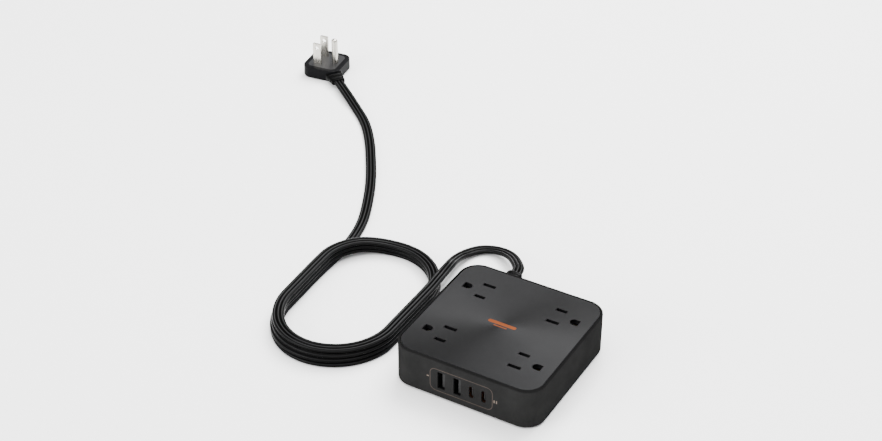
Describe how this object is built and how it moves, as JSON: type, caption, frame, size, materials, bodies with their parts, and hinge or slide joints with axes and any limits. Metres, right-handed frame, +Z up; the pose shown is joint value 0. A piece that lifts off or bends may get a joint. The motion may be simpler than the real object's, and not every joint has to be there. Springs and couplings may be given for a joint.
{
  "type": "surge protector",
  "caption": "Low square table-top power hub with grounded outlets on top, USB ports in front, and a coiled flat cord ending in a flat plug with an angled cord outlet.",
  "frame": {"origin": "centre of the case's footprint on the surface it stands on", "axes": "+Z up; +X to the right along the side with the USB ports; +Y back, the side where the cord leaves (the ports face -Y)"},
  "size_m": [0.3511, 0.3241, 0.0298],
  "materials": {
    "case_plastic": "satin",
    "top_plastic": "satin with a fine spun sheen",
    "base_plastic": "fine matte",
    "foot_rubber": "matte",
    "screw_steel": "zinc plated",
    "copper_print": "metallic copper print",
    "port_metal": "dull nickel",
    "port_metal_c": "copper-toned plating",
    "port_insulator": "smooth",
    "contact_gold": "thin plating",
    "circuit_board": "solder resist",
    "varistor_coating": "dipped epoxy",
    "fuse_body": "ceramic",
    "ferrite": "sintered, matte",
    "winding_tape": "polyester tape",
    "capacitor_sleeve": "shrink sleeve",
    "core_plastic": "moulded, matte",
    "contact_brass": "stamped sheet",
    "breaker_plastic": "moulded, matte",
    "button_plastic": "satin",
    "line_wire": "smooth",
    "neutral_wire": "smooth",
    "ground_wire": "smooth",
    "cord_jacket": "soft, three fine ribs",
    "plug_jacket": "soft satin",
    "plug_core_plastic": "moulded, matte",
    "pin_brass": "nickel-washed brass"
  },
  "bodies": {
    "power_hub": {"base_cover": "base_plastic", "board_lead_line": "line_wire", "board_lead_neutral": "neutral_wire", "board_screws": "screw_steel", "body_shell": "case_plastic", "breaker_body": "breaker_plastic", "breaker_terminals": "contact_brass", "capacitor_1": "capacitor_sleeve", "capacitor_2": "capacitor_sleeve", "capacitor_3": "capacitor_sleeve", "capacitor_4": "capacitor_sleeve", "case_screws": "screw_steel", "cord_coil": "cord_jacket", "cord_lead": "cord_jacket", "cord_loop": "cord_jacket", "ground_bus": "contact_brass", "ground_pin": "pin_brass", "lead_ground": "ground_wire", "lead_line": "line_wire", "lead_neutral": "neutral_wire", "line_blade": "pin_brass", "line_bus": "contact_brass", "line_choke": "ferrite", "main_board": "circuit_board", "neutral_blade": "pin_brass", "neutral_bus": "contact_brass", "outlet_core_left_front": "core_plastic", "outlet_core_left_rear": "core_plastic", "outlet_core_right_front": "core_plastic", "outlet_core_right_rear": "core_plastic", "plug_body": "plug_jacket", "plug_insert": "plug_core_plastic", "plug_strain_relief": "cord_jacket", "port_marks": "copper_print", "port_outline": "copper_print", "rubber_feet": "foot_rubber", "strain_relief": "cord_jacket", "thermal_fuse": "fuse_body", "top_badge": "copper_print", "top_plate": "top_plastic", "transformer_core": "ferrite", "transformer_winding": "winding_tape", "usb_a_contacts_1": "contact_gold", "usb_a_contacts_2": "contact_gold", "usb_a_shell_1": "port_metal", "usb_a_shell_2": "port_metal", "usb_a_tongue_1": "port_insulator", "usb_a_tongue_2": "port_insulator", "usb_c_shell_1": "port_metal_c", "usb_c_shell_2": "port_metal_c", "usb_c_tongue_1": "port_insulator", "usb_c_tongue_2": "port_insulator", "varistor_1": "varistor_coating", "varistor_2": "varistor_coating", "varistor_3": "varistor_coating"},
    "breaker_button": {"reset_button": "button_plastic"}
  },
  "joints": [
    {"name": "reset_button_slide", "type": "slide", "parent": "power_hub", "child": "breaker_button", "axis": [0, 1, 0], "range_m": [0, 0.003]}
  ]
}
